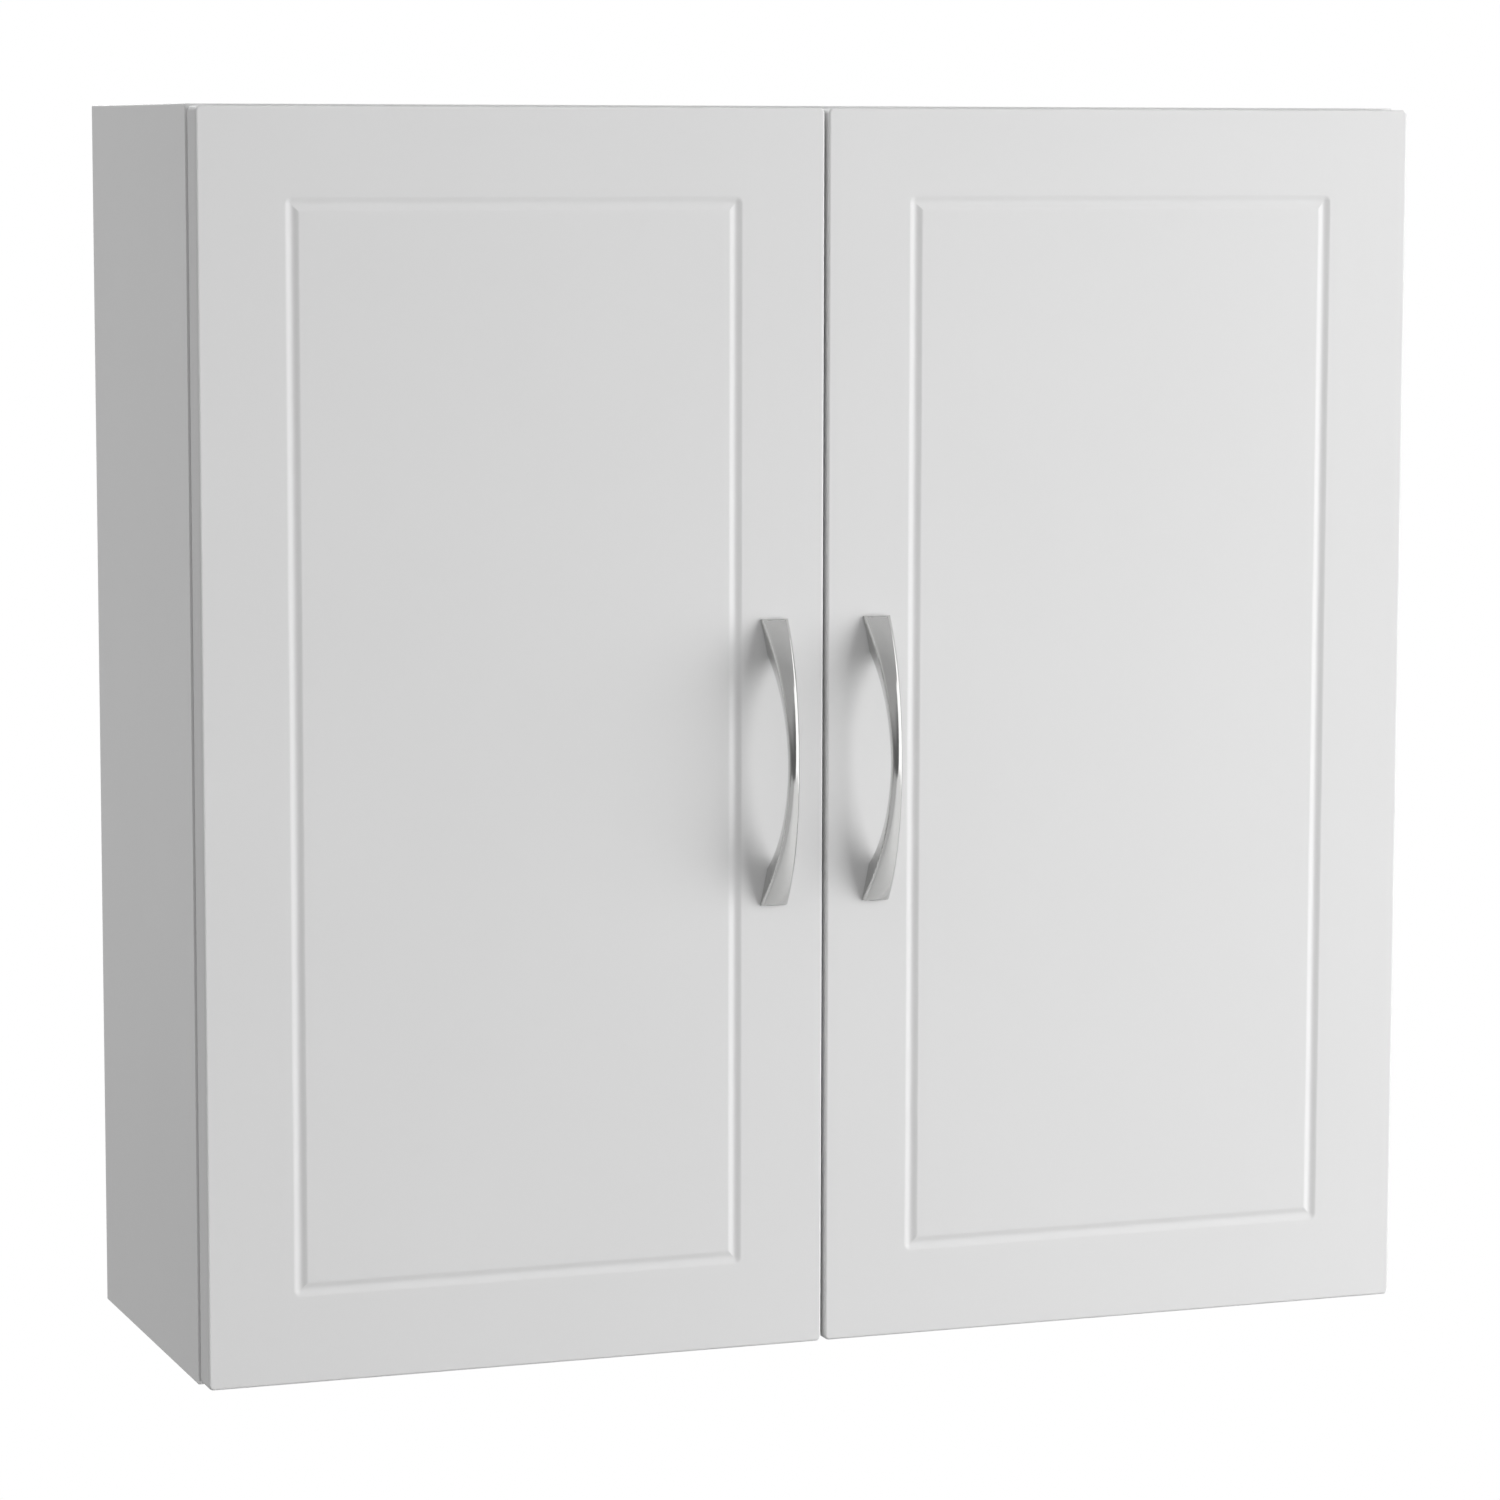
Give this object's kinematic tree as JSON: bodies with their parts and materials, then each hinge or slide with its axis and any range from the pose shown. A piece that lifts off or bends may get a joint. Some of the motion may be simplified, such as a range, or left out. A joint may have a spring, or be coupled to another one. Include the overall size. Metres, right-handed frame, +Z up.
{
  "type": "wall cabinet",
  "caption": "White wall-hung cabinet with two grooved overlay doors, arched bar pulls, concealed cup hinges, a magnetic catch and adjustable shelves.",
  "frame": {"origin": "centre of the four wall-screw holes, on the wall plane", "axes": "+X right seen from the front, +Y towards the wall, +Z up"},
  "size_m": [0.61, 0.238, 0.594],
  "materials": {
    "melamine_board": "white melamine-faced board, satin",
    "thermofoil_door": "white thermofoil over fibreboard, satin",
    "hardboard": "white-faced hardboard",
    "bright_nickel": "bright nickel plate",
    "nickel_plated_steel": "nickel-plated pressed steel",
    "zinc_fittings": "zinc-plated",
    "beech": "bare beech",
    "white_plastic": "moulded plastic",
    "ferrite": "sintered ferrite",
    "clear_bumper": "soft translucent plastic"
  },
  "bodies": {
    "carcass": {"left_side_panel": "melamine_board", "right_side_panel": "melamine_board", "top_panel": "melamine_board", "bottom_panel": "melamine_board", "back_panel": "hardboard", "upper_rail": "melamine_board", "lower_rail": "melamine_board", "upper_shelf": "melamine_board", "lower_shelf": "melamine_board", "shelf_pins": "nickel_plated_steel", "cam_locks": "zinc_fittings", "cam_bolts": "zinc_fittings", "dowels": "beech", "upper_left_mounting_plate": "nickel_plated_steel", "lower_left_mounting_plate": "nickel_plated_steel", "upper_right_mounting_plate": "nickel_plated_steel", "lower_right_mounting_plate": "nickel_plated_steel", "upper_left_hinge_arm": "nickel_plated_steel", "lower_left_hinge_arm": "nickel_plated_steel", "upper_right_hinge_arm": "nickel_plated_steel", "lower_right_hinge_arm": "nickel_plated_steel", "plate_screws": "zinc_fittings", "arm_clamp_screws": "zinc_fittings", "arm_adjusting_screws": "zinc_fittings", "catch_body": "white_plastic", "catch_magnets": "ferrite", "catch_pole_plates": "zinc_fittings", "catch_screws": "zinc_fittings"},
    "left_door": {"left_door": "thermofoil_door", "left_handle": "bright_nickel", "left_handle_screws": "zinc_fittings", "left_bumpers": "clear_bumper", "left_cup_screws": "zinc_fittings", "left_strike_plate": "zinc_fittings", "left_strike_screw": "zinc_fittings", "upper_left_hinge_cup": "nickel_plated_steel", "upper_left_hinge_pin": "nickel_plated_steel", "lower_left_hinge_cup": "nickel_plated_steel", "lower_left_hinge_pin": "nickel_plated_steel"},
    "right_door": {"right_door": "thermofoil_door", "right_handle": "bright_nickel", "right_handle_screws": "zinc_fittings", "right_bumpers": "clear_bumper", "right_cup_screws": "zinc_fittings", "right_strike_plate": "zinc_fittings", "right_strike_screw": "zinc_fittings", "upper_right_hinge_cup": "nickel_plated_steel", "upper_right_hinge_pin": "nickel_plated_steel", "lower_right_hinge_cup": "nickel_plated_steel", "lower_right_hinge_pin": "nickel_plated_steel"}
  },
  "joints": [
    {"name": "left_door_hinge", "type": "hinge", "parent": "carcass", "child": "left_door", "pos_m": [-0.298, -0.2005, 0], "axis": [0, 0, -1], "range_deg": [0, 95]},
    {"name": "right_door_hinge", "type": "hinge", "parent": "carcass", "child": "right_door", "pos_m": [0.298, -0.2005, 0], "axis": [0, 0, 1], "range_deg": [0, 95]}
  ]
}
